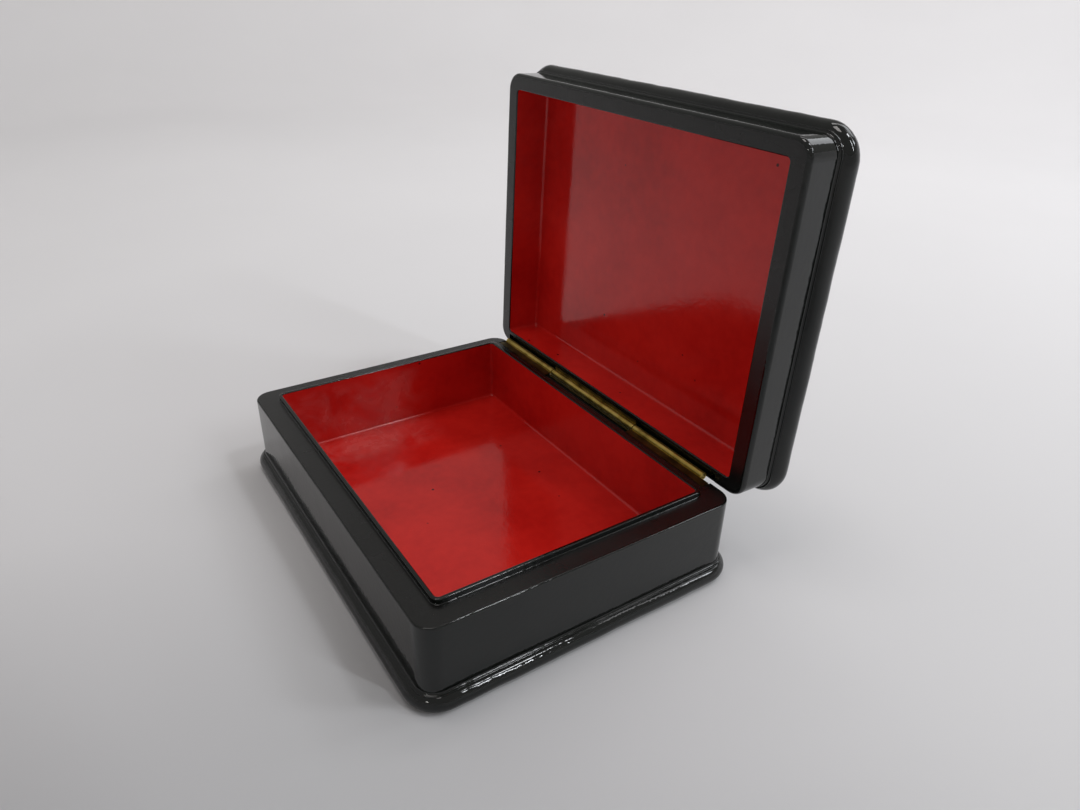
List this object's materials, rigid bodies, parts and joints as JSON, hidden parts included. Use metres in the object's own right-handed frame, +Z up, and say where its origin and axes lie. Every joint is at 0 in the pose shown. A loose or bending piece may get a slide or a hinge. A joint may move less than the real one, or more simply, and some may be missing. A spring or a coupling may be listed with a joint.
{
  "type": "trinket box",
  "caption": "Hinged rectangular trinket box with a raised inner lip, bead-edged base and lid boards, and a brass hinge let into its back rims.",
  "frame": {"origin": "middle of the flat underside of the base", "axes": "+Z up, +Y towards the hinge at the back, +X along the hinge"},
  "size_m": [0.1054, 0.0933, 0.0972],
  "materials": {
    "black_lacquer": "gloss",
    "hinge_brass": "satin"
  },
  "bodies": {
    "base": {"base_bottom_board": "black_lacquer", "base_walls": "black_lacquer", "hinge_knuckle_left": "hinge_brass", "hinge_knuckle_right": "hinge_brass", "hinge_pin": "hinge_brass"},
    "lid": {"lid_walls": "black_lacquer", "lid_top_board": "black_lacquer", "hinge_knuckle_middle": "hinge_brass"}
  },
  "joints": [
    {"name": "lid_hinge", "type": "hinge", "parent": "base", "child": "lid", "pos_m": [0, 0.03807, 0.02005], "axis": [1, 0, 0], "range_deg": [0, 91.8]}
  ]
}
